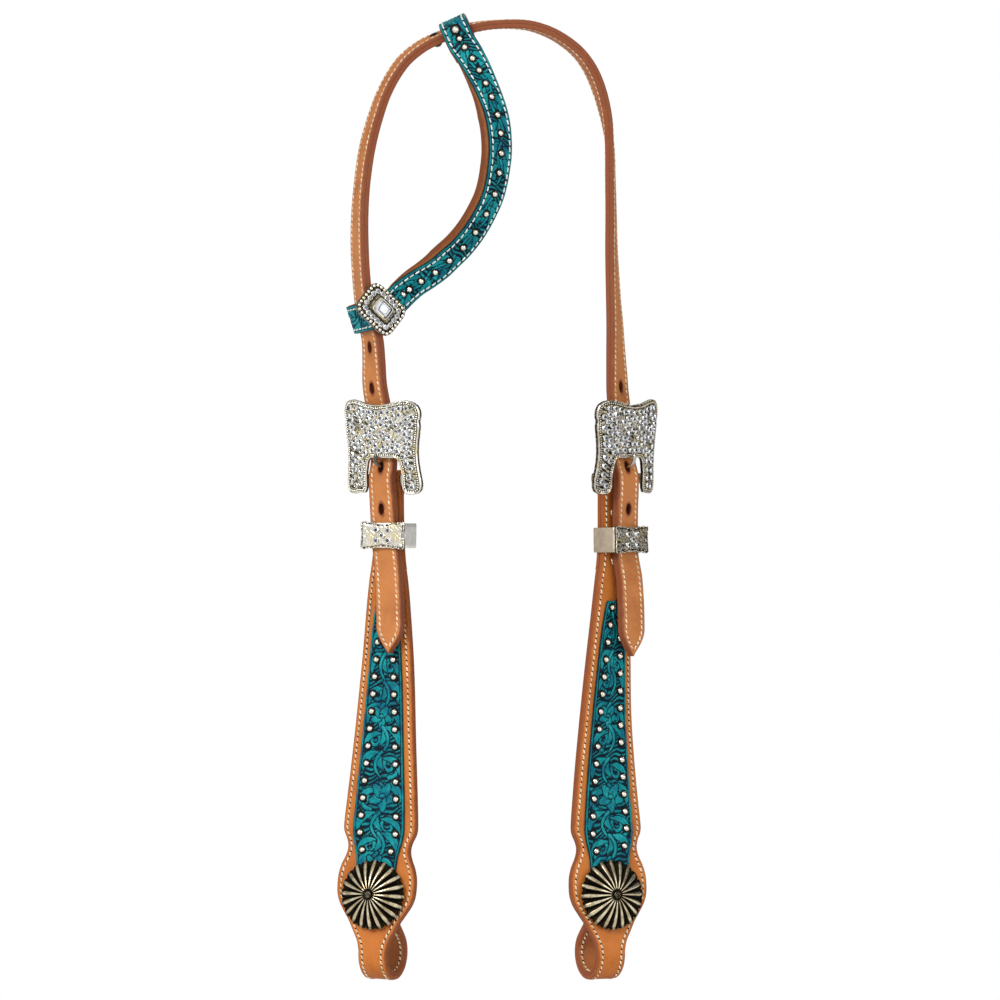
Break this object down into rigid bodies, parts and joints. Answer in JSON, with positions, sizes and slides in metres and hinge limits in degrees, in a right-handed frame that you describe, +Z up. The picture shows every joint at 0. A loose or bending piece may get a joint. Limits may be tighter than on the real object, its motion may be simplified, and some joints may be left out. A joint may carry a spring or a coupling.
{
  "type": "western headstall",
  "caption": "One-ear western headstall: stitched leather crown strap, shaped cheeks with tooled inlays and fluted conchos, stone-set buckles and keepers, and a slip ear strap.",
  "frame": {"origin": "middle of the crown strap's underside at the top, where it rests on the horse's poll", "axes": "+X across the headstall towards the side without the ear strap, +Z up, -Y out of the faces that show"},
  "size_m": [0.1745, 0.0547, 0.5259],
  "materials": {
    "crown_leather": "oiled, light sheen",
    "leather_back": "matt flesh side",
    "tan_leather": "oiled, light sheen",
    "turquoise_leather": "tooled and antiqued",
    "ear_brown": "burnished",
    "antique_silver": "engraved, antique silver plate",
    "antique_nickel": "antique nickel plate",
    "bright_steel": "polished",
    "dark_steel": "blackened",
    "clear_stone": "faceted"
  },
  "bodies": {
    "headstall": {"crown_strap_outer": "crown_leather", "crown_strap_lining": "leather_back", "ear_stop_rivet": "dark_steel", "left_cheek_front": "tan_leather", "left_cheek_lining": "leather_back", "left_inlay": "turquoise_leather", "left_concho_screw": "bright_steel", "left_turn_back_rivet_1": "antique_nickel", "left_turn_back_rivet_2": "antique_nickel", "right_cheek_front": "tan_leather", "right_cheek_lining": "leather_back", "right_inlay": "turquoise_leather", "right_concho_screw": "bright_steel", "right_turn_back_rivet_1": "antique_nickel", "right_turn_back_rivet_2": "antique_nickel"},
    "left_buckle": {"left_buckle_frame": "antique_silver"},
    "left_tongue": {"left_tongue": "bright_steel"},
    "left_keeper": {"left_keeper": "antique_silver"},
    "left_concho": {"left_concho": "antique_nickel"},
    "right_buckle": {"right_buckle_frame": "antique_silver"},
    "right_tongue": {"right_tongue": "bright_steel"},
    "right_keeper": {"right_keeper": "antique_silver"},
    "right_concho": {"right_concho": "antique_nickel"},
    "ear_strap": {"ear_strap_overlay": "turquoise_leather", "ear_strap_lining": "ear_brown", "ear_ornament": "antique_silver", "ear_ornament_stone": "clear_stone", "ear_ornament_screw": "antique_silver", "ear_wrap_rivet": "dark_steel"}
  },
  "joints": [
    {"name": "left_buckle_swing", "type": "hinge", "parent": "headstall", "child": "left_buckle", "pos_m": [-0.06508, 0, -0.2437], "axis": [0.7985, -0.6018, -0.0143], "range_deg": [0, 4]},
    {"name": "left_tongue_swing", "type": "hinge", "parent": "left_buckle", "child": "left_tongue", "pos_m": [-0.06508, 0, -0.2437], "axis": [0.7985, -0.6018, -0.0143], "range_deg": [0, 3]},
    {"name": "left_keeper_slide", "type": "slide", "parent": "headstall", "child": "left_keeper", "axis": [0.0141, 0, 0.9999], "range_m": [-0.0025, 0.0025]},
    {"name": "left_concho_spin", "type": "hinge", "parent": "headstall", "child": "left_concho", "pos_m": [-0.07253, 0, -0.47066], "axis": [-0.436, -0.8994, 0.0308], "continuous": true},
    {"name": "right_buckle_swing", "type": "hinge", "parent": "headstall", "child": "right_buckle", "pos_m": [0.05412, 0, -0.2437], "axis": [0.6427, 0.766, 0.0127], "range_deg": [0, 4]},
    {"name": "right_tongue_swing", "type": "hinge", "parent": "right_buckle", "child": "right_tongue", "pos_m": [0.05412, 0, -0.2437], "axis": [0.6427, 0.766, 0.0127], "range_deg": [0, 3]},
    {"name": "right_keeper_slide", "type": "slide", "parent": "headstall", "child": "right_keeper", "axis": [-0.0146, 0, 0.9999], "range_m": [-0.0008, 0.0025]},
    {"name": "right_concho_spin", "type": "hinge", "parent": "headstall", "child": "right_concho", "pos_m": [0.05316, 0, -0.47066], "axis": [0.474, -0.8803, 0.0191], "continuous": true},
    {"name": "ear_strap_slip", "type": "hinge", "parent": "headstall", "child": "ear_strap", "pos_m": [0.02265, 0, -0.14622], "axis": [0, 1, 0], "range_deg": [0, 0.6]}
  ]
}
